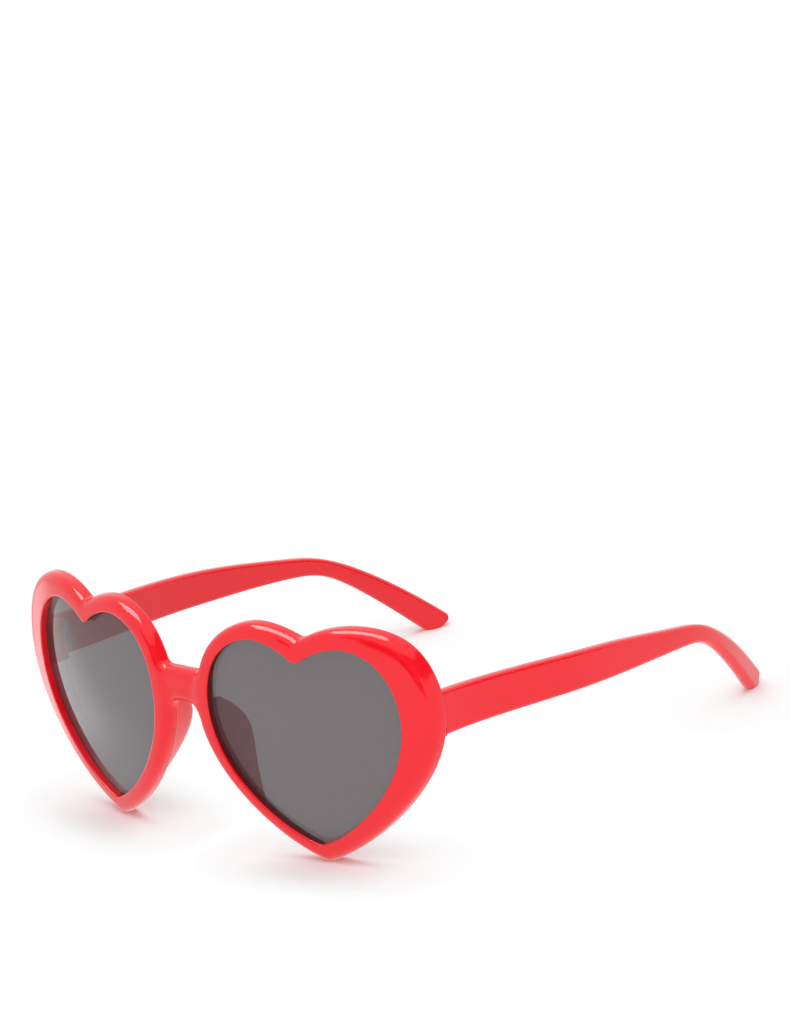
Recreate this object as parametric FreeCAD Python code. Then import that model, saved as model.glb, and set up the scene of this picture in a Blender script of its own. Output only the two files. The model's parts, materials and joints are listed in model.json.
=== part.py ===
import FreeCAD, Part
import math
import os

# Heart shaped sunglasses in millimetres. X runs across the face with the wearer's left at +X,
# Y runs back from the front, Z is up and the open glasses stand on Z = 0.

# Lens openings
lens_width = 55.8
lens_height = 52.8
bridge_gap = 20.2
opening_lift = 4.6
opening_tip_round = 3.0
opening_notch_round = 2.3

# Rim widths round one opening, from the notch by the nose to the tip and up the outer side
rim_notch = 4.5
rim_inner_lobe = 3.8
rim_inner_shoulder = 4.0
rim_nose = 4.7
rim_lower_inner = 3.9
rim_tip = 4.85
rim_lower_outer = 5.0
rim_outer = 8.3
rim_outer_shoulder = 7.9
rim_outer_lobe = 4.9
outer_tip_round = 3.8
outer_notch_round = 3.0

# Front, wrapped round the face as part of a ball
wrap_radius = 186.0
wrap_height = 30.5
front_depth = 4.6
shoulder_round = 2.3
rear_round = 0.8
opening_round = 0.45

# Bridge
bridge_top = 46.8
bridge_height = 8.4
bridge_corner_round = 2.2
arch_round = 4.3

# Lenses in their grooves
lens_thickness = 1.5
lens_recess = 1.9
lens_lip = 0.9
groove_clearance = 0.05

# Nose fins behind the rims
fin_thickness = 2.6
fin_reach = 6.7
fin_flare = 24.0
fin_top = 40.0
fin_bottom = 16.6
fin_root = 1.0
fin_round = 0.9

# Temples
temple_thickness = 3.5
temple_height = 11.2
temple_reach = 125.9
temple_inset = 1.4
temple_gap = 0.15
temple_round = 1.2
tip_round = 5.0
tip_overhang = 2.9
hinge_height = 39.2

# End piece lugs on the front, where the temples butt
lug_rise = -0.15
lug_edge = 0.35
lug_root = 1.0

# Hinge leaves, each moulded into the plastic as far as a taller foot that holds it
pin_setback = 1.6
knuckle_radius = 1.4
knuckle_height = 1.96
knuckle_gap = 0.05
leaf_width = 2.8
leaf_height = 6.0
leaf_depth = 2.2
foot_thickness = 0.6
foot_lip = 0.5
leaf_clearance = 0.05

# Hinge screws
pin_radius = 0.7
pin_clearance = 0.03
pin_head_radius = 1.15
pin_head_height = 0.7
slot_width = 0.3
slot_depth = 0.25

# One opening as shares of its width from the nose and of its height from the tip, with the rim there
inner_side = (
    (0.513, 0.900, rim_notch),
    (0.405, 0.973, (rim_notch + rim_inner_lobe) / 2),
    (0.275, 1.002, rim_inner_lobe),
    (0.085, 0.912, rim_inner_shoulder),
    (0.000, 0.650, rim_nose),
    (0.157, 0.258, rim_lower_inner),
    (0.500, 0.000, rim_tip),
)
outer_side = (
    (0.500, 0.000, rim_tip),
    (0.810, 0.217, rim_lower_outer),
    (1.000, 0.680, rim_outer),
    (0.920, 0.892, rim_outer_shoulder),
    (0.755, 0.983, rim_outer_lobe),
    (0.630, 0.965, (rim_notch + rim_outer_lobe) / 2),
    (0.513, 0.900, rim_notch),
)

# Rear edge of a fin as shares of its depth and of its drop from the top
fin_edge = (
    (0.00, 0.00),
    (0.70, 0.15),
    (1.00, 0.42),
    (0.66, 0.82),
    (0.38, 0.95),
    (0.00, 1.00),
)

# Sections of a temple as shares of its reach and of its drop to the floor, then how far out the
# middle is from where it starts and how tall the temple is. The last one lies below the floor.
temple_sections = (
    (0.000, 0.000, 0.0, temple_height),
    (0.112, 0.033, 0.1, 10.7),
    (0.241, 0.074, 1.7, 10.2),
    (0.361, 0.117, 3.0, 9.6),
    (0.482, 0.166, 2.8, 8.5),
    (0.578, 0.212, 2.0, 7.0),
    (0.667, 0.260, 0.7, 5.6),
    (0.751, 0.326, -1.2, 4.7),
    (0.803, 0.416, -2.9, 4.9),
    (0.859, 0.554, -5.4, 5.7),
    (0.928, 0.757, -9.1, 6.7),
    (1.044, 1.143, -15.6, 7.4),
)

# Places worked out from the sizes
half_width = bridge_gap / 2 + lens_width + rim_outer
ball_centre = FreeCAD.Vector(0, wrap_radius, wrap_height)
rear_radius = wrap_radius - front_depth
past_all = 2 * half_width
butt_y = wrap_radius - math.sqrt(rear_radius**2 - half_width**2 - (hinge_height - wrap_height)**2)
temple_start = butt_y + temple_gap
temple_outer_x = half_width - temple_inset
temple_inner_x = temple_outer_x - temple_thickness
pin_x = temple_inner_x - pin_setback
pin_y = butt_y + pin_setback
knuckle_top = 1.5 * knuckle_height + knuckle_gap
same_place = 1e-3


def block(low, high):
    size = [b - a for a, b in zip(low, high)]
    return Part.makeBox(*size, FreeCAD.Vector(*low))


def upright(radius, low, high, x=pin_x, y=pin_y):
    return Part.makeCylinder(radius, high - low, FreeCAD.Vector(x, y, low))


def smooth(points):
    curve = Part.BSplineCurve()
    curve.interpolate(points)
    return curve


def across(points, turn):
    # Unit vectors square to the smooth curve through the points, in its own plane
    curve = smooth(points)
    tangents = [curve.tangent(curve.parameter(p))[0] for p in points]
    return [t.cross(turn) for t in tangents]


def moved(points, directions, distances):
    return [p + d * s for p, d, s in zip(points, directions, distances)]


def corner_move(first, second, distance):
    # Where the corner of two edges goes when both move out by one distance
    middle = first + second
    middle.normalize()
    return middle * (distance / middle.dot(first))


def mirrored(shape):
    return shape.mirror(FreeCAD.Vector(0, 0, 0), FreeCAD.Vector(1, 0, 0))


def both(shape):
    return [shape, mirrored(shape)]


def round_edges(shape, radius, wanted):
    return shape.makeFillet(radius, [e for e in shape.Edges if wanted(e)])


def runs_along(edge, axis):
    start, end = edge.Vertexes[0].Point, edge.Vertexes[-1].Point
    return abs(abs((end - start).dot(axis)) - edge.Length) < same_place


def middle_of(edge):
    return edge.valueAt((edge.FirstParameter + edge.LastParameter) / 2)


def on_ball(edge, radius):
    places = [edge.FirstParameter, (edge.FirstParameter + edge.LastParameter) / 2, edge.LastParameter]
    return all(abs((edge.valueAt(p) - ball_centre).Length - radius) < same_place for p in places)


def opening_points(side):
    left = bridge_gap / 2
    return [FreeCAD.Vector(left + u * lens_width, 0, opening_lift + v * lens_height) for u, v, w in side]


def heart_face(inner_growth, outer_growth):
    # The opening's heart, grown outwards by a distance of its own at each point
    sideways = FreeCAD.Vector(0, 1, 0)
    inner = opening_points(inner_side)
    outer = opening_points(outer_side)
    inner_out = across(inner, sideways * -1)
    outer_out = across(outer, sideways * -1)
    notch = inner[0] + corner_move(inner_out[0], outer_out[-1], inner_growth[0])
    tip = outer[0] + corner_move(inner_out[-1], outer_out[0], outer_growth[0])
    inner = [notch] + moved(inner, inner_out, inner_growth)[1:-1] + [tip]
    outer = [tip] + moved(outer, outer_out, outer_growth)[1:-1] + [notch]
    return Part.Face(Part.Wire([smooth(inner).toShape(), smooth(outer).toShape()]))


def heart_prism(inner_growth, outer_growth, tip_radius, notch_radius):
    prism = heart_face(inner_growth, outer_growth).extrude(FreeCAD.Vector(0, past_all, 0))
    depth_edges = [e for e in prism.Edges if runs_along(e, FreeCAD.Vector(0, 1, 0))]
    depth_edges.sort(key=lambda e: middle_of(e).z)
    notch_z = middle_of(depth_edges[-1]).z
    prism = prism.makeFillet(tip_radius, [depth_edges[0]])
    return round_edges(
        prism, notch_radius,
        lambda e: runs_along(e, FreeCAD.Vector(0, 1, 0)) and abs(middle_of(e).z - notch_z) < same_place)


def even_heart(growth):
    # The opening's heart grown by the same distance all round, with its corners to match
    return heart_prism(
        [growth] * len(inner_side), [growth] * len(outer_side),
        opening_tip_round + growth, opening_notch_round - growth)


def rim_widths(side):
    return [w for u, v, w in side]


def ball_layer(outer_radius, inner_radius):
    return Part.makeSphere(outer_radius, ball_centre).cut(Part.makeSphere(inner_radius, ball_centre))


def make_front_blank(lens_space):
    rim = heart_prism(rim_widths(inner_side), rim_widths(outer_side), outer_tip_round, outer_notch_round)
    bridge = block(
        (-bridge_gap / 2, 0, bridge_top - bridge_height),
        (bridge_gap / 2, past_all, bridge_top))
    outline = rim.multiFuse([mirrored(rim), bridge])
    depth = FreeCAD.Vector(0, 1, 0)
    outline = round_edges(
        outline, bridge_corner_round,
        lambda e: runs_along(e, depth) and abs(middle_of(e).z - bridge_top) < same_place)
    outline = round_edges(
        outline, arch_round,
        lambda e: runs_along(e, depth) and abs(middle_of(e).z - bridge_top + bridge_height) < same_place)
    front = outline.common(ball_layer(wrap_radius, rear_radius))
    for hole in both(even_heart(0)):
        front = front.cut(hole)

    def by_opening(edge):
        return any(s.isInside(middle_of(edge), same_place, True) for s in lens_space)

    front = round_edges(front, shoulder_round, lambda e: on_ball(e, wrap_radius) and not by_opening(e))
    front = round_edges(front, rear_round, lambda e: on_ball(e, rear_radius) and not by_opening(e))
    front = round_edges(front, opening_round, lambda e: on_ball(e, wrap_radius) and by_opening(e))
    return round_edges(front, opening_round, lambda e: on_ball(e, rear_radius) and by_opening(e))


def make_fin():
    # A fin that carries the nose side of the rim on backwards, leaning away from the nose
    outer = heart_face(rim_widths(inner_side), rim_widths(outer_side))
    inner = heart_face(
        [w - fin_thickness for w in rim_widths(inner_side)],
        [w - fin_thickness for w in rim_widths(outer_side)])
    start = front_depth - fin_root
    depth = fin_root + fin_reach
    lean = math.tan(math.radians(fin_flare))
    band = outer.cut(inner)
    band.translate(FreeCAD.Vector(0, start, 0))
    band = band.extrude(FreeCAD.Vector(lean, 1, 0) * (2 * depth))
    drop = fin_top - fin_bottom
    edge = smooth([FreeCAD.Vector(0, start + back * depth, fin_top - down * drop) for back, down in fin_edge])
    closing = Part.LineSegment(edge.EndPoint, edge.StartPoint)
    profile = Part.Face(Part.Wire([edge.toShape(), closing.toShape()]))
    reach_x = bridge_gap / 2 + lens_width / 2
    fin = band.common(profile.extrude(FreeCAD.Vector(reach_x, 0, 0)))
    fin = round_edges(fin, fin_round, lambda e: middle_of(e).y > start + fin_root)
    return fin.common(Part.makeSphere(rear_radius + fin_root, ball_centre))


def make_lug():
    low = hinge_height - temple_height / 2 - lug_rise
    high = hinge_height + temple_height / 2 + lug_rise
    inner_x = pin_x - leaf_width / 2 - lug_edge
    lug = block((inner_x, 0, low), (temple_outer_x, butt_y, high))
    return lug.common(Part.makeSphere(rear_radius + lug_root, ball_centre))


def make_lens():
    layer = ball_layer(wrap_radius - lens_recess, wrap_radius - lens_recess - lens_thickness)
    return even_heart(lens_lip).common(layer)


def make_groove():
    front_face = wrap_radius - lens_recess + groove_clearance
    rear_face = wrap_radius - lens_recess - lens_thickness - groove_clearance
    return even_heart(lens_lip + groove_clearance).common(ball_layer(front_face, rear_face))


def front_anchor(clearance):
    # What of a front leaf is inside the lug
    half = leaf_width / 2 + clearance
    tall = leaf_height / 2 + clearance
    deep = butt_y - leaf_depth - clearance
    foot = deep + foot_thickness + 2 * clearance
    stem = block((pin_x - half, deep, hinge_height - tall), (pin_x + half, butt_y, hinge_height + tall))
    tall += foot_lip
    flange = block((pin_x - half, deep, hinge_height - tall), (pin_x + half, foot, hinge_height + tall))
    return stem.fuse(flange)


def temple_anchor(inner_x, clearance):
    # What of a temple leaf is inside the temple, from a place beside it
    near_y = pin_y - clearance
    far_y = pin_y + leaf_width + clearance
    tall = leaf_height / 2 + clearance
    deep = temple_inner_x + leaf_depth + clearance
    foot = deep - foot_thickness - 2 * clearance
    stem = block((inner_x, near_y, hinge_height - tall), (deep, far_y, hinge_height + tall))
    tall += foot_lip
    flange = block((foot, near_y, hinge_height - tall), (deep, far_y, hinge_height + tall))
    return stem.fuse(flange)


def pin_hole():
    return upright(pin_radius + pin_clearance, 0, past_all)


def make_front_leaf():
    leaf = front_anchor(0)
    inner = hinge_height + knuckle_height / 2 + knuckle_gap
    outer = hinge_height + knuckle_top
    for low, high in ((inner, outer), (2 * hinge_height - outer, 2 * hinge_height - inner)):
        web = block(
            (pin_x - knuckle_radius, butt_y - leaf_depth / 2, low),
            (pin_x + pin_radius, pin_y, high))
        leaf = leaf.multiFuse([web, upright(knuckle_radius, low, high)])
    return leaf.cut(pin_hole())


def make_temple_leaf():
    low = hinge_height - knuckle_height / 2
    high = hinge_height + knuckle_height / 2
    web = block((pin_x, pin_y, low), (temple_inner_x + leaf_depth / 2, pin_y + knuckle_radius, high))
    leaf = temple_anchor(temple_inner_x, 0).multiFuse([web, upright(knuckle_radius, low, high)])
    return leaf.cut(pin_hole())


def make_hinge_screw():
    top = hinge_height + knuckle_top
    shank = upright(pin_radius, hinge_height - knuckle_top, top)
    head = upright(pin_head_radius, top, top + pin_head_height)
    slot = block(
        (pin_x - pin_head_radius, pin_y - slot_width / 2, top + pin_head_height - slot_depth),
        (pin_x + pin_head_radius, pin_y + slot_width / 2, top + pin_head_height))
    return shank.fuse(head).cut(slot)


def rounded_section(middle, sideways, up, height):
    # A rounded rectangle as one closed wire, with its corners as quarter circles
    half_x = temple_thickness / 2
    half_z = height / 2
    lean = temple_round * (1 - math.sqrt(0.5))

    def at(x, z):
        return middle + sideways * x + up * z

    edges = []
    for x, z in ((1, 1), (-1, 1), (-1, -1), (1, -1)):
        before = at(x * half_x, z * (half_z - temple_round))
        bend = at(x * (half_x - lean), z * (half_z - lean))
        after = at(x * (half_x - temple_round), z * half_z)
        if x * z < 0:
            before, after = after, before
        if edges:
            edges.append(Part.LineSegment(edges[-1].EndPoint, before))
        edges.append(Part.Arc(before, bend, after))
    edges.append(Part.LineSegment(edges[-1].EndPoint, edges[0].StartPoint))
    return Part.Wire([e.toShape() for e in edges])


def make_temple(floor):
    drop = hinge_height - floor
    middle_x = temple_outer_x - temple_thickness / 2
    middles = [
        FreeCAD.Vector(middle_x + out, temple_start + back * temple_reach, hinge_height - down * drop)
        for back, down, out, tall in temple_sections]
    path = smooth(middles)
    wires = []
    for middle, (back, down, out, tall) in zip(middles, temple_sections):
        ahead = path.tangent(path.parameter(middle))[0] if back else FreeCAD.Vector(0, 1, 0)
        sideways = ahead.cross(FreeCAD.Vector(0, 0, 1))
        sideways.normalize()
        wires.append(rounded_section(middle, sideways, sideways.cross(ahead), tall))
    temple = Part.makeLoft(wires, True, False)
    tip_y = temple_start + temple_reach + tip_overhang
    stand_room = block((0, 0, floor), (past_all, tip_y, past_all))
    rear_edge = FreeCAD.Vector(past_all / 2, tip_y, floor)
    stand_room = round_edges(stand_room, tip_round, lambda e: (middle_of(e) - rear_edge).Length < same_place)
    temple = temple.common(stand_room)
    return temple.cut(temple_anchor(pin_x, leaf_clearance))


def make_front(lens_space):
    front = make_front_blank(lens_space)
    front = front.multiFuse(both(make_lug()) + both(make_fin()))
    for cutter in (make_groove(), front_anchor(leaf_clearance)):
        for side in both(cutter):
            front = front.cut(side)
    return front


def lowest(shape):
    return shape.optimalBoundingBox(False, False).ZMin


front_frame = make_front(both(even_heart(lens_lip)))
stand = lowest(front_frame)
left_parts = {
    "lens": make_lens(),
    "temple": make_temple(stand),
    "front_hinge_leaf": make_front_leaf(),
    "temple_hinge_leaf": make_temple_leaf(),
    "hinge_screw": make_hinge_screw(),
}
parts = {"front_frame": front_frame}
for name, shape in left_parts.items():
    parts[name + "_left"] = shape
    parts[name + "_right"] = mirrored(shape)

front_y = front_frame.optimalBoundingBox(False, False).YMin
rear_y = left_parts["temple"].optimalBoundingBox(False, False).YMax
to_origin = FreeCAD.Vector(0, -(front_y + rear_y) / 2, -stand)
os.makedirs("parts", exist_ok=True)
for name, shape in parts.items():
    shape.translate(to_origin)
    shape.exportStep("parts/" + name + ".step")
    print(name, len(shape.Solids), "solids", round(shape.Volume, 2), "mm3", shape.isValid())
print("moved by", to_origin, "pin at", pin_x, pin_y + to_origin.y, "butt", butt_y + to_origin.y)
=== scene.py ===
import json
import math

import bmesh
import bpy
import numpy as np
from mathutils import Matrix, Vector


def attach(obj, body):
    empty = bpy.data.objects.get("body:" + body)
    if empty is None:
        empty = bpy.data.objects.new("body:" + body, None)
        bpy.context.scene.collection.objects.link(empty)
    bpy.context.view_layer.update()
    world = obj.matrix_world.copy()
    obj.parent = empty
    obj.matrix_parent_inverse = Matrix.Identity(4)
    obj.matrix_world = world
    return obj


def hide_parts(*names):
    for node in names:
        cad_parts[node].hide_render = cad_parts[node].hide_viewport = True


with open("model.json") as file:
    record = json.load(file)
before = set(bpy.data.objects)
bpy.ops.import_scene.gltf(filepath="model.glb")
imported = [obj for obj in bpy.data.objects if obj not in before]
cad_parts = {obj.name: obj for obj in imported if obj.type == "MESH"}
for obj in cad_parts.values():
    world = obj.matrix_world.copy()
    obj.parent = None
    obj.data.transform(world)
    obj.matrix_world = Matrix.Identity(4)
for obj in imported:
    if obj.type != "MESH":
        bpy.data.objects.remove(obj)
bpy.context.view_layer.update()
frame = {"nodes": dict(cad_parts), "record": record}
mm = 0.001  # pieces are modelled in millimetres and scaled once
weld = 1e-4  # points nearer than this are one
touch = 1e-5  # points this near to a cutting plane lie on it
pin = [p / mm for p in frame["record"]["behaviour"]["joints"][0]["pos_m"]]  # middle of the left hinge
pinHeight = 39.2  # above the ball's own floor
pinSetback = 1.6  # behind the end of the front
raised = pin[2] - pinHeight  # from that floor to the one the heart tips stand on
butt = pin[1] - pinSetback


# curves in the plane of the face

def curveThrough(points, places=None):
    # smooth curve through a few points: where each lies along it, the points, and the slopes there
    points = np.array(points, float)
    if places is None:
        places = np.concatenate([[0.0], np.cumsum(np.linalg.norm(np.diff(points, axis=0), axis=1))])
    gaps = np.diff(places)
    count = len(points)
    pulls = np.zeros((count, count))
    wanted = np.zeros_like(points)
    for end, near in ((0, slice(0, 4)), (count - 1, slice(count - 4, count))):
        # the ends follow a cubic through the nearest points
        cubic = np.polyfit(places[near], points[near], 3)
        pulls[end, end] = 1
        wanted[end] = 3 * cubic[0] * places[end]**2 + 2 * cubic[1] * places[end] + cubic[2]
    for i in range(1, count - 1):
        before, after = gaps[i - 1], gaps[i]
        pulls[i, i - 1:i + 2] = 1 / before, 2 / before + 2 / after, 1 / after
        wanted[i] = 3 * ((points[i] - points[i - 1]) / before**2 + (points[i + 1] - points[i]) / after**2)
    return places, points, np.linalg.solve(pulls, wanted)


def alongCurve(curve, spacing):
    places, points, slopes = curve
    line = []
    for i, length in enumerate(np.diff(places)):
        steps = max(2, round(length / spacing))
        for s in np.arange(steps) / steps:
            ends = (2 * s**3 - 3 * s**2 + 1) * points[i] + (3 * s**2 - 2 * s**3) * points[i + 1]
            line.append(ends + length * ((s**3 - 2 * s**2 + s) * slopes[i] + (s**3 - s**2) * slopes[i + 1]))
    return np.array(line + [points[-1]])


def unit(v):
    return v / np.linalg.norm(v, axis=-1, keepdims=True)


def leftOf(directions):
    # square to a direction in the plane, on the outer side of a line that runs anticlockwise seen from behind
    return np.stack([directions[..., 1], -directions[..., 0]], -1)


def cutBack(line, reach, tooNear=0.4):
    # the line without the last stretch, ending exactly there; a point too near the cut goes too
    back = line[::-1]
    far = np.concatenate([[0.0], np.cumsum(np.linalg.norm(np.diff(back, axis=0), axis=1))])
    k = int(np.searchsorted(far, reach * 1.001))
    share = (reach - far[k - 1]) / (far[k] - far[k - 1])
    cut = back[k - 1] + share * (back[k] - back[k - 1])
    dropped = k + 1 if 1 - share < tooNear else k
    return np.vstack([line[:len(line) - dropped], cut])


def roundJoin(before, after, radius, pieces=6):
    # rounds the corner where one line ends and the next starts
    corner = before[-1]
    goingIn, goingOut = unit(corner - before[-2]), unit(after[1] - corner)
    turn = math.acos(float(np.clip(goingIn @ goingOut, -1, 1)))
    reach = radius * math.tan(turn / 2)
    before = cutBack(before, reach)
    after = cutBack(after[::-1], reach)[::-1]
    handle = 4 / 3 * math.tan(turn / 4) / math.tan(turn / 2)
    a, d = before[-1], after[0]
    b, c = a + (corner - a) * handle, d + (corner - d) * handle
    s = np.arange(1, pieces)[:, None] / pieces
    bend = (1 - s)**3 * a + 3 * s * (1 - s)**2 * b + 3 * s**2 * (1 - s) * c + s**3 * d
    return before, bend, after


def lineNormals(line, closed):
    if closed:
        run = np.roll(line, -1, 0) - np.roll(line, 1, 0)
    else:
        run = np.gradient(line, axis=0)
    return leftOf(unit(run))


# one heart, its rim and the ball that the front is wrapped round

heart = {
    "width": 55.8, "height": 52.8, "lift": 4.6 + raised, "noseGap": 20.2,
    "tipRound": 3.0, "notchRound": 2.3, "rimTipRound": 3.8, "rimNotchRound": 3.0, "spacing": 1.5,
    # share of the width from the nose, share of the height from the tip, width of the rim there
    "noseSide": (
        (0.513, 0.900, 4.5), (0.405, 0.973, 4.15), (0.275, 1.002, 3.8), (0.085, 0.912, 4.0),
        (0.000, 0.650, 4.7), (0.157, 0.258, 3.9), (0.500, 0.000, 4.85)),
    "outerSide": (
        (0.500, 0.000, 4.85), (0.810, 0.217, 5.0), (1.000, 0.680, 8.3), (0.920, 0.892, 7.9),
        (0.755, 0.983, 4.9), (0.630, 0.965, 4.7), (0.513, 0.900, 4.5)),
}
ball = {"radius": 186.0, "depth": 4.6, "height": 30.5 + raised}
widestRim = max(w for u, v, w in heart["outerSide"])
halfWidth = heart["noseGap"] / 2 + heart["width"] + widestRim
ball["back"] = butt + math.sqrt(
    (ball["radius"] - ball["depth"])**2 - halfWidth**2 - (pin[2] - ball["height"])**2)


def sidePoints(side):
    left = heart["noseGap"] / 2
    return np.array([(left + u * heart["width"], heart["lift"] + v * heart["height"]) for u, v, w in side])


def cornerMove(first, second, distance):
    middle = unit(first + second)
    return middle * distance / (middle @ first)


def heartLoop(noseGrowth, outerGrowth, tipRound, notchRound):
    # the opening's heart grown outwards, from the notch down the nose side and up the outer side
    nose, outer = sidePoints(heart["noseSide"]), sidePoints(heart["outerSide"])
    noseOut = leftOf(unit(curveThrough(nose)[2]))
    outerOut = leftOf(unit(curveThrough(outer)[2]))
    notch = nose[0] + cornerMove(noseOut[0], outerOut[-1], noseGrowth[0])
    tip = outer[0] + cornerMove(noseOut[-1], outerOut[0], outerGrowth[0])
    nose = nose + noseOut * np.array(noseGrowth)[:, None]
    outer = outer + outerOut * np.array(outerGrowth)[:, None]
    nose[0], nose[-1], outer[0], outer[-1] = notch, tip, tip, notch
    noseLine = alongCurve(curveThrough(nose), heart["spacing"])
    outerLine = alongCurve(curveThrough(outer), heart["spacing"])
    noseLine, tipBend, outerLine = roundJoin(noseLine, outerLine, tipRound)
    outerLine, notchBend, noseLine = roundJoin(outerLine, noseLine, notchRound)
    return np.vstack([noseLine, tipBend, outerLine, notchBend])


def evenHeart(growth):
    side = [growth] * len(heart["noseSide"])
    return heartLoop(side, side, heart["tipRound"] + growth, heart["notchRound"] - growth)


def onBall(x, z, depth):
    # how far back the front is at a place on its face, at a depth into it
    return ball["back"] - math.sqrt((ball["radius"] - depth)**2 - x**2 - (z - ball["height"])**2)


# meshes grown row by row

def startMesh():
    bm = bmesh.new()
    bm.verts.layers.int.new("along")
    return bm


def addWire(bm, places, closed):
    along = bm.verts.layers.int["along"]
    verts = [bm.verts.new(p) for p in places]
    for i, v in enumerate(verts):
        v[along] = i
    following = verts[1:] + verts[:1] if closed else verts[1:]
    return [bm.edges.new(pair) for pair in zip(verts, following)]


def addRow(bm, edges, places):
    # extrudes a row of edges and sets each new vertex at its place along the row
    along = bm.verts.layers.int["along"]
    made = bmesh.ops.extrude_edge_only(bm, edges=edges)["geom"]
    fresh = {g for g in made if isinstance(g, bmesh.types.BMVert)}
    for v in fresh:
        v.co = places[v[along]]
    return [g for g in made if isinstance(g, bmesh.types.BMEdge) and fresh.issuperset(g.verts)]


def flatRow(line, depth):
    return [(x, depth, z) for x, z in line]


def mirrorX(bm):
    everything = bm.verts[:] + bm.edges[:] + bm.faces[:]
    bmesh.ops.mirror(bm, geom=everything, merge_dist=weld, axis="X")


def sharpEdges(bm, angle):
    return [e for e in bm.edges if e.is_manifold and e.calc_face_angle() > math.radians(angle)]


def softenEdges(bm, edges, width, segments=2):
    bmesh.ops.bevel(
        bm, geom=edges, offset=width, offset_type="OFFSET", affect="EDGES", segments=segments, profile=0.5,
        material=-1, clamp_overlap=True)


def finishPiece(bm, name, body, materials, sharpAngle=50):
    bmesh.ops.remove_doubles(bm, verts=bm.verts, dist=weld)
    bmesh.ops.dissolve_degenerate(bm, dist=weld, edges=bm.edges)
    bmesh.ops.recalc_face_normals(bm, faces=bm.faces)
    bmesh.ops.scale(bm, vec=(mm, mm, mm), verts=bm.verts)
    mesh = bpy.data.meshes.new(name)
    bm.to_mesh(mesh)
    bm.free()
    mesh.shade_smooth()
    mesh.set_sharp_from_angle(angle=math.radians(sharpAngle))
    for used in materials:
        mesh.materials.append(used)
    piece = bpy.data.objects.new(name, mesh)
    bpy.context.scene.collection.objects.link(piece)
    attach(piece, body)
    return piece


def evenNormals(piece):
    # broad faces keep their own shading and the rounded edges take up the turn
    soft = piece.modifiers.new("evenNormals", "WEIGHTED_NORMAL")
    soft.mode = "FACE_AREA"
    soft.keep_sharp = True


# shader maths

class Value:
    def __init__(self, tree, socket):
        self.tree = tree
        self.socket = socket

    def math(self, operation, other, swapped=False):
        first, second = (other, self) if swapped else (self, other)
        return self.tree.add("ShaderNodeMath", {"operation": operation}, {0: first, 1: second})["Value"]

    def __add__(self, other):
        return self.math("ADD", other)

    def __radd__(self, other):
        return self.math("ADD", other, True)

    def __sub__(self, other):
        return self.math("SUBTRACT", other)

    def __rsub__(self, other):
        return self.math("SUBTRACT", other, True)

    def __mul__(self, other):
        return self.math("MULTIPLY", other)

    def __rmul__(self, other):
        return self.math("MULTIPLY", other, True)


class NodeTree:
    def __init__(self, tree):
        self.nodes = tree.nodes
        self.links = tree.links

    def add(self, kind, settings=None, sockets=None):
        # any node: its settings first, then the values or links of its sockets; gives back its outputs
        node = self.nodes.new(kind)
        for key, value in (settings or {}).items():
            setattr(node, key, value)
        self.fill(node, sockets or {})
        return {output.name: Value(self, output) for output in node.outputs if output.enabled}

    def fill(self, node, sockets):
        for key, value in sockets.items():
            if isinstance(value, Value):
                self.links.new(value.socket, node.inputs[key])
            else:
                node.inputs[key].default_value = value

    def ramp(self, value, start, end):
        # smooth rise from 0 at the start to 1 at the end
        return self.add("ShaderNodeMapRange", {"interpolation_type": "SMOOTHSTEP"}, {
            "Value": value, "From Min": start, "From Max": end})["Result"]

    def shine(self, level):
        return self.add("ShaderNodeEmission", None, {"Color": (1, 1, 1, 1), "Strength": level})["Emission"]

    def either(self, share, first, second):
        return self.add("ShaderNodeMixShader", None, {0: share, 1: first, 2: second})["Shader"]

    def looks(self):
        # 1 where the camera looks, and 1 where a gloss or a lens looks; 0 for the light that falls on things
        ray = self.add("ShaderNodeLightPath")
        return ray["Is Camera Ray"], ray["Is Glossy Ray"] + ray["Is Transmission Ray"]


class Finish(NodeTree):
    def __init__(self, name):
        self.material = bpy.data.materials.new(name)
        self.material.use_nodes = True
        super().__init__(self.material.node_tree)
        self.shader = self.nodes["Principled BSDF"]
        self.place = self.add("ShaderNodeTexCoord")["Object"]

    def surface(self, **sockets):
        self.fill(self.shader, {key.replace("_", " "): value for key, value in sockets.items()})

    def noise(self, scale, detail=3.0, stretch=(1, 1, 1)):
        place = self.add("ShaderNodeMapping", {"vector_type": "TEXTURE"}, {
            "Vector": self.place, "Scale": stretch})
        return self.add("ShaderNodeTexNoise", None, {
            "Vector": place["Vector"], "Scale": scale, "Detail": detail, "Roughness": 0.55})["Fac"]

    def blend(self, share, first, second):
        return self.add("ShaderNodeMix", {"data_type": "RGBA"}, {0: share, 6: first, 7: second})["Result"]

    def bump(self, height, strength, distance):
        return self.add("ShaderNodeBump", None, {
            "Height": height, "Strength": strength, "Distance": distance})["Normal"]


plasticIndex = 1.5
redLook = {
    "faces": ((0.86, 0.004, 0.012, 1), (0.93, 0.007, 0.018, 1)),  # deep and bright red
    # the wall in front of the lens: red darkened to paint the shade in that recess
    "paintedWallShade": ((0.10, 0.001, 0.002, 1), (0.13, 0.0015, 0.003, 1)),
    "facePolish": (0.08, 0.05), "finPolish": (0.18, 0.03), "wallPolish": (0.4, 0.1),  # roughness and grain
    "driftScale": 45.0, "driftDull": 0.03,
    "marksScale": 900.0, "marksStretch": (1, 6, 1), "marksHeight": 0.25,
    "peelScale": 260.0, "peel": 0.02, "peelHeight": 0.0002,
}


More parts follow.
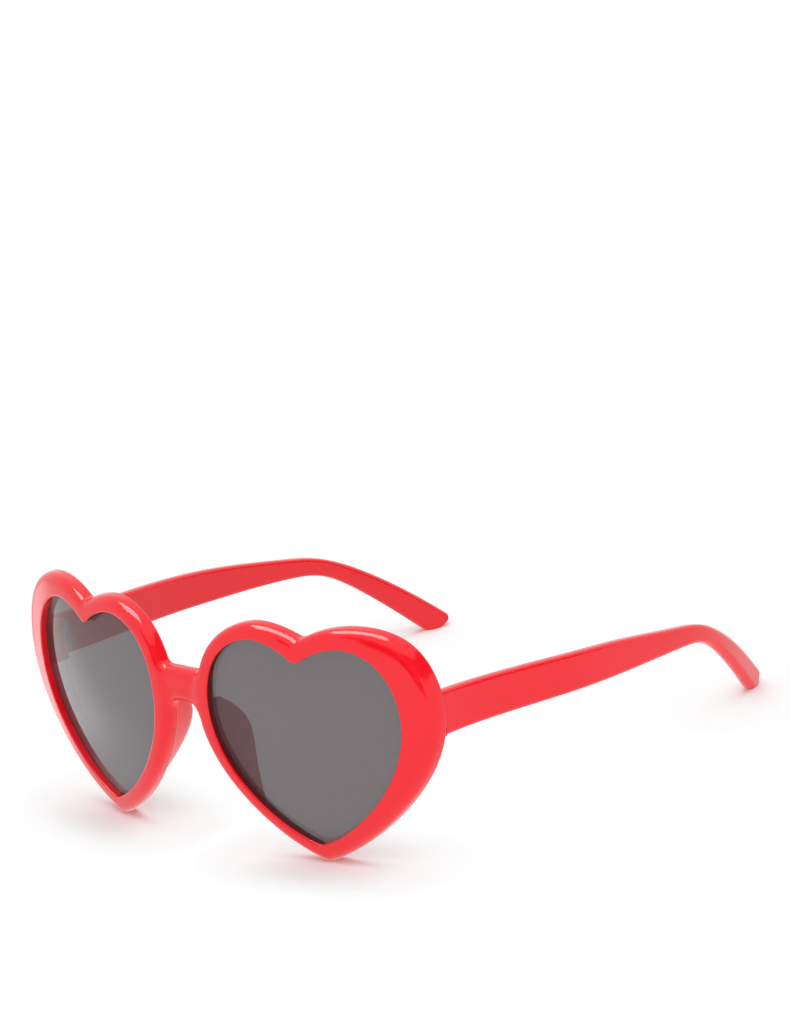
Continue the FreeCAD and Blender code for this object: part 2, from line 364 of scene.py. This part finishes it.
def makeRedPlastic(name, reds, polish):
    # polished moulding: slow drift of colour, faint polishing marks and a little orange peel
    finish = Finish(name)
    roughness, grain = polish
    drift = finish.noise(redLook["driftScale"])
    marks = finish.noise(redLook["marksScale"], 4.0, redLook["marksStretch"])
    peel = finish.noise(redLook["peelScale"], 2.0)
    finish.surface(
        Base_Color=finish.blend(drift, *reds),
        Roughness=roughness + redLook["driftDull"] * drift + grain * marks,
        IOR=plasticIndex,
        Normal=finish.bump(peel + redLook["marksHeight"] * marks, redLook["peel"], redLook["peelHeight"]))
    return finish.material


lensLook = {
    "tint": (0.085, 0.060, 0.068, 1), "cloud": (0.089, 0.062, 0.070, 1), "cloudScale": 35.0,
    "alpha": 0.67, "cloudAlpha": 0.02, "polish": 0.02, "dust": 0.03, "dustScale": 2400.0,
}


def makeSmokeLens():
    # dyed sheet: nearly even tint with slow clouds and fine dust
    finish = Finish("smokeLens")
    clouds = finish.noise(lensLook["cloudScale"], 2.0)
    dust = finish.noise(lensLook["dustScale"], 1.0)
    finish.surface(
        Base_Color=finish.blend(clouds, lensLook["tint"], lensLook["cloud"]),
        Roughness=lensLook["polish"] + lensLook["dust"] * dust,
        IOR=plasticIndex,
        Alpha=lensLook["alpha"] + lensLook["cloudAlpha"] * clouds)
    return finish.material


steelLook = {
    "leaf": ((0.18, 0.175, 0.17, 1), (0.26, 0.25, 0.24, 1)),  # dark and bright steel
    "screw": ((0.4, 0.39, 0.38, 1), (0.6, 0.59, 0.57, 1)),
    "leafStretch": (1, 1, 12), "screwStretch": (12, 12, 1),
    "scratchScale": 1500.0, "patchScale": 300.0, "polish": 0.22, "scratchDull": 0.2, "patchDull": 0.1,
    "scratch": 0.15, "scratchHeight": 0.00005,
}


def makeHingeSteel(name, greys, stretch):
    # stamped and turned steel: stretched scratches and duller patches
    finish = Finish(name)
    scratches = finish.noise(steelLook["scratchScale"], 5.0, stretch)
    patches = finish.noise(steelLook["patchScale"])
    scratched = steelLook["polish"] + steelLook["scratchDull"] * scratches
    finish.surface(
        Base_Color=finish.blend(patches, *greys),
        Metallic=1.0,
        Roughness=scratched + steelLook["patchDull"] * patches,
        Normal=finish.bump(scratches, steelLook["scratch"], steelLook["scratchHeight"]))
    return finish.material


redPlastic = makeRedPlastic("redPlastic", redLook["faces"], redLook["facePolish"])
finPlastic = makeRedPlastic("finPlastic", redLook["faces"], redLook["finPolish"])
# the same plastic in that dark red: painted shade on the wall in front of the lens
paintedShadeWallPlastic = makeRedPlastic("paintedShadeWallPlastic", redLook["paintedWallShade"], redLook["wallPolish"])
smokeLens = makeSmokeLens()
hingeSteel = makeHingeSteel("hingeSteel", steelLook["leaf"], steelLook["leafStretch"])
screwSteel = makeHingeSteel("screwSteel", steelLook["screw"], steelLook["screwStretch"])
print("finishes made")


# the moulded front: two rims and the bridge in one shell

front = {
    "depth": ball["depth"], "shoulder": 2.3, "rearRound": 0.8, "openingRound": 0.45,
    "shoulderRows": 7, "edgeRows": 4, "faceCuts": 3,
    "bridgeTop": 46.8 + raised, "bridgeUnder": 38.4 + raised, "bridgePoints": 4, "bridgeCorner": 2.2,
    "archRound": 4.3, "archPieces": 8, "bridgeStep": 0.6, "stepStart": 3.0, "stepWidth": 3.2,
    "seatFront": 1.85, "seatRear": 2.9, "seatDepth": 0.95, "rearBevel": 2.2,
}
heartMiddle = (heart["noseGap"] + heart["width"]) / 2
rimLine = heartLoop(
    [w for u, v, w in heart["noseSide"]], [w for u, v, w in heart["outerSide"]],
    heart["rimTipRound"], heart["rimNotchRound"])
openingLine = evenHeart(0.0)
openingOut = lineNormals(openingLine, True)


def bridgeMeets(level):
    # the rim line's place on the nose side at a height, as the count of points above it and the place
    nose = rimLine[:np.argmin(rimLine[:, 1])]
    below = int(np.argmax((nose[:, 1] < level) & (nose[:, 0] < heart["noseGap"])))
    above, under = rimLine[below - 1], rimLine[below]
    return below, above + (under - above) * (level - above[1]) / (under[1] - above[1])


def frontOutline():
    # half of the front's outline, from under the bridge round one rim to the top of the bridge
    underAt, underMeet = bridgeMeets(front["bridgeUnder"])
    topAt, topMeet = bridgeMeets(front["bridgeTop"])
    steps = np.linspace(0, 1, front["bridgePoints"])[:, None]
    underLine = np.array([0, front["bridgeUnder"]]) + steps * (underMeet - [0, front["bridgeUnder"]])
    topLine = topMeet + steps * (np.array([0, front["bridgeTop"]]) - topMeet)
    rim = np.vstack([underMeet, rimLine[underAt:], rimLine[:topAt], topMeet])
    underLine, arch, rim = roundJoin(underLine, rim, front["archRound"], front["archPieces"])
    rim, corner, topLine = roundJoin(rim, topLine, front["bridgeCorner"])
    return np.vstack([underLine, arch, rim, corner, topLine])


def quarterRound(radius, rows):
    # rows of a rounded edge, as how far in from the edge and how deep
    return [
        (radius * (1 - math.sin(a)), radius * (1 - math.cos(a)))
        for a in np.linspace(0, math.pi / 2, rows)]


def fillFace(bm, edges, facing):
    made = bmesh.ops.triangle_fill(bm, use_beauty=True, edges=edges, normal=facing)["geom"]
    return [g for g in made if isinstance(g, bmesh.types.BMFace)]


def closeOnMiddle(bm, edges):
    # the short edge on the middle plane that closes a half outline's row
    ends = [v for e in edges for v in e.verts if abs(v.co.x) < touch]
    return bm.edges.new(ends)


def wrapFront(bm):
    # bends the flat front round the ball and sets the bridge a little behind the rims
    for v in bm.verts:
        x, depth, z = v.co
        fromOpening = np.linalg.norm(openingLine - [abs(x), z], axis=1).min()
        share = min(max((fromOpening - front["stepStart"]) / front["stepWidth"], 0), 1)
        step = front["bridgeStep"] * share**2 * (3 - 2 * share) * (1 - depth / front["depth"])
        atNose = abs(x) < heart["noseGap"] / 2
        v.co.y = onBall(x, z, depth) + (step if atNose else 0)


def buildFront():
    bm = startMesh()
    depth = front["depth"]
    outline = frontOutline()
    out = lineNormals(outline, False)
    outerRows = quarterRound(front["shoulder"], front["shoulderRows"])
    rearRows = [(a, depth - d) for a, d in reversed(quarterRound(front["rearRound"], front["edgeRows"]))]
    rows = outerRows + rearRows
    edges = addWire(bm, flatRow(outline - out * rows[0][0], rows[0][1]), False)
    faceEdges = edges + [closeOnMiddle(bm, edges)]
    for inward, at in rows[1:]:
        edges = addRow(bm, edges, flatRow(outline - out * inward, at))
    rearEdges = edges + [closeOnMiddle(bm, edges)]
    lip = quarterRound(front["openingRound"], front["edgeRows"])
    seat = [
        (0, front["seatFront"]), (front["seatDepth"], front["seatFront"]),
        (front["seatDepth"], front["seatRear"]), (front["rearBevel"], depth)]
    rows = lip + seat
    edges = addWire(bm, flatRow(openingLine + openingOut * rows[0][0], rows[0][1]), True)
    faceEdges += edges
    for inward, at in rows[1:]:
        edges = addRow(bm, edges, flatRow(openingLine + openingOut * inward, at))
        if (inward, at) == seat[0]:
            for f in {f for e in edges for f in e.link_faces}:
                if f.calc_center_median().x < heartMiddle:
                    f.material_index = 1  # the dull wall in front of the lens, on the nose side, in dark red as painted shade
    faces = fillFace(bm, faceEdges, (0, -1, 0)) + fillFace(bm, rearEdges + edges, (0, 1, 0))
    border = set(faceEdges + rearEdges + edges)
    inside = {e for f in faces for e in f.edges} - border
    bmesh.ops.subdivide_edges(bm, edges=list(inside), cuts=front["faceCuts"], use_grid_fill=True)
    mirrorX(bm)
    wrapFront(bm)
    return bm


frontShell = finishPiece(buildFront(), "frontShell", "front", [redPlastic, paintedShadeWallPlastic])
evenNormals(frontShell)
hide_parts("front_frame")
print("front shell made", len(frontShell.data.polygons), "faces")


# nose fins behind the rims

fin = {
    "thickness": 2.6, "depth": 9.5, "root": 2.9, "flare": 15.0, "top": 40.0 + raised, "bottom": 9.6 + raised,
    "round": 0.9, "roundRows": 4, "sideRows": (4, 2), "spacing": 0.8, "edgeSpacing": 0.05,
    # share of the depth and share of the drop along the rear edge
    "edge": (
        (0.00, 0.00), (0.70, 0.115), (1.00, 0.33), (0.70, 0.63), (0.44, 0.80), (0.20, 0.93), (0.00, 1.00)),
}


def buildFin():
    bm = startMesh()
    nose = rimLine[:np.argmin(rimLine[:, 1])]
    between = (nose[:, 1] < fin["top"]) & (nose[:, 1] > fin["bottom"])
    picked = nose[between & (nose[:, 0] < heart["width"] / 2)]
    line = alongCurve(curveThrough(picked), fin["spacing"])
    out = lineNormals(line, False)
    edge = alongCurve(curveThrough(fin["edge"]), fin["edgeSpacing"])
    drop = (fin["top"] - line[:, 1]) / (fin["top"] - fin["bottom"])
    reach = fin["depth"] * np.interp(drop, edge[:, 1], edge[:, 0])
    lean = math.tan(math.radians(fin["flare"]))
    start = onBall(0, ball["height"], fin["root"])

    def row(inward, short):
        # a row at a distance in from the nose side and short of the rear edge
        places = []
        for (x, z), b in zip(line - out * inward, np.maximum(reach - short, 0)):
            y = max(start + b, onBall(x, z, fin["root"]))
            places.append((x + lean * (y - start), y, z))
        return places

    rounds = quarterRound(fin["round"], fin["roundRows"])
    shorts = [fin["depth"]] + [fin["round"] + s for s in fin["sideRows"]]
    rows = [(0, s) for s in shorts] + rounds[::-1]
    rows += [(fin["thickness"] - a, d) for a, d in rounds]
    rows += [(fin["thickness"], s) for s in reversed(shorts)]
    edges = addWire(bm, row(*rows[0]), False)
    for inward, short in rows[1:]:
        edges = addRow(bm, edges, row(inward, short))
    bmesh.ops.remove_doubles(bm, verts=bm.verts, dist=weld)
    bmesh.ops.holes_fill(bm, edges=bm.edges, sides=0)
    return bm


def buildFins():
    bm = buildFin()
    mirrorX(bm)
    return bm


finishPiece(buildFins(), "noseFins", "front", [finPlastic])
print("nose fins made")


# lugs behind the outer ends of the rims, with a pocket for the hinge leaf

lug = {
    "low": (65.95, pin[2] - 5.45), "high": (72.8, pin[2] + 5.45), "rear": butt, "root": 3.6,
    "edge": 0.2, "sharp": 35,
    "pocketLow": (66.25, pin[2] - 3.05), "pocketHigh": (69.15, pin[2] + 3.05), "pocketDepth": 1.55,
}
flatEnough = 0.95  # how square to its axis a flat side is


def cutPocket(bm, low, high, across, facing, inwards):
    # a straight sided pocket in the flat side that faces along an axis
    outward = -1 if inwards[facing] > 0 else 1
    flat = [f for f in bm.faces if f.normal[facing] * outward > flatEnough]
    for axis, places in ((across, (low[0], high[0])), (2, (low[1], high[1]))):
        normal = [0, 0, 0]
        normal[axis] = 1
        for place in places:
            spot = [0, 0, 0]
            spot[axis] = place
            geom = list({v for f in flat for v in f.verts}) + list({e for f in flat for e in f.edges}) + flat
            got = bmesh.ops.bisect_plane(bm, geom=geom, dist=touch, plane_co=spot, plane_no=normal)
            flat = [g for g in got["geom"] if isinstance(g, bmesh.types.BMFace)]
    inside = []
    for f in flat:
        middle = f.calc_center_median()
        if low[0] < middle[across] < high[0] and low[1] < middle[2] < high[1]:
            inside.append(f)
    sunk = bmesh.ops.extrude_face_region(bm, geom=inside)["geom"]
    bmesh.ops.translate(bm, vec=inwards, verts=[g for g in sunk if isinstance(g, bmesh.types.BMVert)])
    bmesh.ops.delete(bm, geom=inside, context="FACES")


def buildLugs():
    bm = startMesh()
    bmesh.ops.create_cube(bm, size=1.0)
    for v in bm.verts:
        x = lug["high"][0] if v.co.x > 0 else lug["low"][0]
        z = lug["high"][1] if v.co.z > 0 else lug["low"][1]
        v.co = (x, lug["rear"] if v.co.y > 0 else onBall(x, z, lug["root"]), z)
    softenEdges(bm, [e for e in bm.edges if all(v.co.y == lug["rear"] for v in e.verts)], lug["edge"])
    cutPocket(bm, lug["pocketLow"], lug["pocketHigh"], 0, 1, (0, -lug["pocketDepth"], 0))
    mirrorX(bm)
    return bm


finishPiece(buildLugs(), "hingeLugs", "front", [redPlastic], lug["sharp"])
print("hinge lugs made")


# lenses

lens = {
    "lip": 0.9, "front": 1.9, "thickness": 1.5, "middle": (heartMiddle, 37.0), "rings": 14, "innermost": 0.04,
}


def buildLens(turn):
    bm = startMesh()
    line = evenHeart(lens["lip"])
    middle = np.array(lens["middle"])
    shares = np.linspace(1, lens["innermost"], lens["rings"])
    rim = addWire(bm, flatRow(line, lens["front"]), True)
    rear = addRow(bm, rim, flatRow(line, lens["front"] + lens["thickness"]))
    for edges, depth in ((rim, lens["front"]), (rear, lens["front"] + lens["thickness"])):
        for share in shares[1:]:
            edges = addRow(bm, edges, flatRow(middle + (line - middle) * share, depth))
        bmesh.ops.contextual_create(bm, geom=edges)
    for v in bm.verts:
        x, depth, z = v.co
        v.co = (turn * x, onBall(x, z, depth), z)
    return bm


for side, turn in (("left", 1), ("right", -1)):
    tinted = finishPiece(buildLens(turn), side + "Lens", "front", [smokeLens])
    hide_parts("lens_" + side)
print("lenses made")


# temples

temple = {
    "thickness": 3.5, "middle": 71.04, "start": butt + 0.15, "reach": 125.9, "overhang": 2.25, "round": 1.2,
    "endRound": 1.7, "endFrom": 0.78, "cornerPoints": 6, "spacing": 2.0,
    "tipRound": 5.0, "tipCuts": 9, "tipEdge": 1.3, "tipSegments": 4,
    "edge": 0.3, "sharp": 35, "shadeSharp": 40,
    "pocketLow": (pin[1] - 0.05, pin[2] - 3.05), "pocketHigh": (pin[1] + 2.85, pin[2] + 3.05),
    "pocketDepth": 1.55,
    # share of the reach, share of the drop to the floor, how far out, how tall
    "sections": (
        (0.000, 0.000, 0.0, 11.2), (0.112, 0.033, 0.1, 10.7), (0.241, 0.074, 1.7, 10.2),
        (0.361, 0.117, 3.0, 9.6), (0.482, 0.166, 2.8, 8.5), (0.578, 0.212, 2.0, 7.0),
        (0.667, 0.260, 0.7, 5.6), (0.751, 0.326, -1.2, 4.7), (0.803, 0.416, -2.9, 4.9),
        (0.859, 0.554, -5.4, 5.7), (0.928, 0.757, -9.1, 6.7), (1.044, 1.143, -15.6, 7.4)),
}


def sectionRing(middle, sideways, up, tall, r):
    # a rounded rectangle round the temple's middle line
    halfX, halfZ = temple["thickness"] / 2, tall / 2
    ring = []
    for k in range(4):
        cornerX = (halfX - r) * (1 if k in (0, 3) else -1)
        cornerZ = (halfZ - r) * (1 if k in (0, 1) else -1)
        for a in np.radians(np.linspace(90 * k, 90 * k + 90, temple["cornerPoints"])):
            ring.append(middle + sideways * (cornerX + r * math.cos(a)) + up * (cornerZ + r * math.sin(a)))
    return np.concatenate(ring)


def cutTip(bm):
    # a flat sole on the floor that turns up to the rear end in one rounding
    rear, r = temple["start"] + temple["reach"] + temple["overhang"], temple["tipRound"]
    for a in np.radians(np.linspace(0, 90, temple["tipCuts"])):
        spot = (0, rear - r + r * math.sin(a), r - r * math.cos(a))
        cut = bmesh.ops.bisect_plane(
            bm, geom=bm.verts[:] + bm.edges[:] + bm.faces[:], dist=touch, plane_co=spot,
            plane_no=(0, math.sin(a), -math.cos(a)), clear_outer=True)["geom_cut"]
        bmesh.ops.contextual_create(bm, geom=[g for g in cut if isinstance(g, bmesh.types.BMEdge)])


def buildTemple(turn):
    bm = startMesh()
    middles = np.array([
        (temple["middle"] + out, temple["start"] + back * temple["reach"], pin[2] * (1 - down))
        for back, down, out, tall in temple["sections"]])
    places, _, slopes = curveThrough(middles)
    slopes[0] = (0, 1, 0)
    rings = []
    for middle, ahead, (back, _, _, tall) in zip(middles, unit(slopes), temple["sections"]):
        sideways = unit(np.cross(ahead, (0, 0, 1)))
        rounding = temple["endRound"] if back > temple["endFrom"] else temple["round"]
        rings.append(sectionRing(middle, sideways, np.cross(sideways, ahead), tall, rounding))
    stations = alongCurve(curveThrough(rings, places), temple["spacing"])
    stations = stations.reshape(len(stations), -1, 3)
    edges = addWire(bm, stations[0], True)
    bmesh.ops.contextual_create(bm, geom=edges)
    for station in stations[1:]:
        edges = addRow(bm, edges, station)
    bmesh.ops.contextual_create(bm, geom=edges)
    bmesh.ops.recalc_face_normals(bm, faces=bm.faces)
    cutTip(bm)
    tipEdges = [e for e in sharpEdges(bm, temple["sharp"]) if e.verts[0].co.y > 0]
    softenEdges(bm, tipEdges, temple["tipEdge"], temple["tipSegments"])
    hingeEdges = [e for e in sharpEdges(bm, temple["sharp"]) if e.verts[0].co.y < 0]
    softenEdges(bm, hingeEdges, temple["edge"])
    bmesh.ops.recalc_face_normals(bm, faces=bm.faces)
    cutPocket(bm, temple["pocketLow"], temple["pocketHigh"], 1, 0, (temple["pocketDepth"], 0, 0))
    bmesh.ops.scale(bm, vec=(turn, 1, 1), verts=bm.verts)
    return bm


for side, turn in (("left", 1), ("right", -1)):
    arm = finishPiece(
        buildTemple(turn), side + "Temple", side + "_arm", [redPlastic], temple["shadeSharp"])
    evenNormals(arm)
    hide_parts("temple_" + side)
print("temples made")


# steel hinges and screws keep their own shapes

for name, node in frame["nodes"].items():
    if "screw" in name or "leaf" in name:
        node.data.materials.clear()
        node.data.materials.append(screwSteel if "screw" in name else hingeSteel)
print("hinges finished")


# floor, light and camera

studio = {
    "floorSize": 8.0, "floorColour": (0.98, 0.98, 0.98, 1), "floorDull": 0.9, "daylight": 0.60,
    "paperWhite": 0.05, "nearPaper": 0.11, "farPaper": 0.26,
    # how near and how covered the floor is where it shows its shade
    "contactReach": 0.022, "contactDeep": 0.84, "contactOpen": 0.995, "contactRays": 4,
    # where the floor beside the far heart starts to glow in the gloss, and where it is full: a painted
    # reflection on the far lens and rim
    "glowLevel": 2.1, "glowFront": (-0.11, -0.06), "glowRear": (-0.03, -0.055), "glowSide": (-0.06, -0.12),
    "topPlace": (0.0, 0.0, 1.2), "topSize": (1.4, 1.4), "topPower": 7.6,
    "fillPlace": (1.29, -1.20, 0.37), "fillSize": (1.2, 0.8), "fillPower": 8.0,
    "boxPlace": (-0.26, -0.12, 1.1), "boxSize": (0.55, 0.85), "boxPower": 10.5,
    "cardAway": 1.6, "cardRows": 7, "cardColumns": 13,
    # dark cards in the gloss: bearing, elevation, width and height in degrees, level
    "cards": ((25, 11, 62, 24, 0.0), (15, 31, 60, 18, 0.2), (97, 30, 106, 26, 0.08)),
}


def linkObject(name, data):
    thing = bpy.data.objects.new(name, data)
    bpy.context.scene.collection.objects.link(thing)
    return thing


def buildFloor():
    # pale paper that shows its shade only close under the glasses and is plain white elsewhere; beside the
    # far heart it glows in the gloss as a painted reflection
    bm = bmesh.new()
    bmesh.ops.create_grid(bm, x_segments=1, y_segments=1, size=studio["floorSize"] / 2)
    mesh = bpy.data.meshes.new("floor")
    bm.to_mesh(mesh)
    bm.free()
    linkObject("floor", mesh)
    paper = Finish("floorPaper")
    paper.surface(Base_Color=studio["floorColour"], Roughness=studio["floorDull"], Specular_IOR_Level=0.0)
    away = paper.add("ShaderNodeVectorMath", {"operation": "LENGTH"}, {0: paper.place})["Value"]
    far = paper.ramp(away, studio["nearPaper"], studio["farPaper"])
    near = paper.add("ShaderNodeAmbientOcclusion", {"samples": studio["contactRays"]}, {
        "Distance": studio["contactReach"]})["AO"]
    clear = paper.ramp(near, studio["contactDeep"], studio["contactOpen"])
    spot = paper.add("ShaderNodeSeparateXYZ", None, {0: paper.place})
    # the floor glows brighter than white beside the far heart, seen only in the gloss: painted reflection
    glowing = 1.0
    for axis, edge in (("Y", "glowFront"), ("Y", "glowRear"), ("X", "glowSide")):
        glowing = glowing * paper.ramp(spot[axis], *studio[edge])
    lit = Value(paper, paper.shader.outputs["BSDF"])
    seen, mirrored = paper.looks()
    share = studio["paperWhite"] + (1.0 - studio["paperWhite"]) * far.math("MAXIMUM", clear)
    plain = (share * seen + mirrored).math("MINIMUM", 1.0)
    pale = paper.either(mirrored * glowing, paper.shine(1.0), paper.shine(studio["glowLevel"]))
    paper.fill(paper.nodes["Material Output"], {"Surface": paper.either(plain, lit, pale)})
    mesh.materials.append(paper.material)


def buildWorld():
    # even daylight, and plain white where the camera, a gloss or a lens looks past the floor
    world = bpy.data.worlds.new("studio")
    bpy.context.scene.world = world
    world.use_nodes = True
    sky = NodeTree(world.node_tree)
    seen, mirrored = sky.looks()
    level = studio["daylight"] + (1.0 - studio["daylight"]) * (seen + mirrored).math("MINIMUM", 1.0)
    sky.fill(sky.nodes["Background"], {"Color": (1, 1, 1, 1), "Strength": level})


def buildSoftbox(name, place, size, power):
    lamp = bpy.data.lights.new(name, "AREA")
    lamp.shape = "RECTANGLE"
    lamp.size, lamp.size_y = size
    lamp.energy = power
    softbox = linkObject(name, lamp)
    softbox.location = place
    softbox.rotation_euler = (-Vector(place)).to_track_quat("-Z", "Y").to_euler()
    softbox.visible_camera = False
    return softbox


def outwards(bearing, elevation):
    # unit vector towards a bearing from the front and an elevation
    level = math.cos(elevation)
    return Vector((math.sin(bearing) * level, -math.cos(bearing) * level, math.sin(elevation)))


def buildCard(number, bearing, elevation, width, height, level):
    # a card that only shows in the gloss of the plastic and the lenses
    bm = bmesh.new()
    rows = np.radians(np.linspace(elevation - height / 2, elevation + height / 2, studio["cardRows"]))
    line = np.radians(np.linspace(bearing - width / 2, bearing + width / 2, studio["cardColumns"]))
    grid = [[bm.verts.new(outwards(a, e) * studio["cardAway"]) for a in line] for e in rows]
    for lower, upper in zip(grid, grid[1:]):
        for k in range(len(line) - 1):
            bm.faces.new((lower[k], upper[k], upper[k + 1], lower[k + 1]))
    mesh = bpy.data.meshes.new("card")
    bm.to_mesh(mesh)
    bm.free()
    card = linkObject("card%d" % number, mesh)
    paint = Finish("cardPaint%d" % number)
    paint.fill(paint.nodes["Material Output"], {"Surface": paint.shine(level)})
    mesh.materials.append(paint.material)
    card.visible_camera = card.visible_diffuse = card.visible_transmission = card.visible_shadow = False


look = {
    "place": (0.82135, -0.75359, 0.41156), "azimuth": 47.149, "elevation": 17.242, "roll": -8.734,
    "lens": 161.68, "clipEnd": 50,
}


def buildCamera():
    a, e, roll = (math.radians(look[k]) for k in ("azimuth", "elevation", "roll"))
    back = outwards(a, e)
    right = (-back).cross(Vector((0, 0, 1))).normalized()
    up = right.cross(-back)
    across = right * math.cos(roll) + up * math.sin(roll)
    over = up * math.cos(roll) - right * math.sin(roll)
    lensData = bpy.data.cameras.new("camera")
    lensData.lens = look["lens"]
    lensData.clip_end = look["clipEnd"]
    camera = linkObject("camera", lensData)
    turn = Matrix((across, over, back)).transposed().to_4x4()
    camera.matrix_world = Matrix.Translation(look["place"]) @ turn
    bpy.context.scene.camera = camera


buildFloor()
buildWorld()
topLight = buildSoftbox("topLight", studio["topPlace"], studio["topSize"], studio["topPower"])
fillLight = buildSoftbox("fillLight", studio["fillPlace"], studio["fillSize"], studio["fillPower"])
topLight.visible_glossy = fillLight.visible_glossy = False
streakBox = buildSoftbox("streakBox", studio["boxPlace"], studio["boxSize"], studio["boxPower"])
streakBox.visible_diffuse = False  # only its streaks on the gloss are wanted
for number, card in enumerate(studio["cards"]):
    buildCard(number, *card)
buildCamera()
bpy.context.scene.view_settings.view_transform = "Standard"
print("studio made")
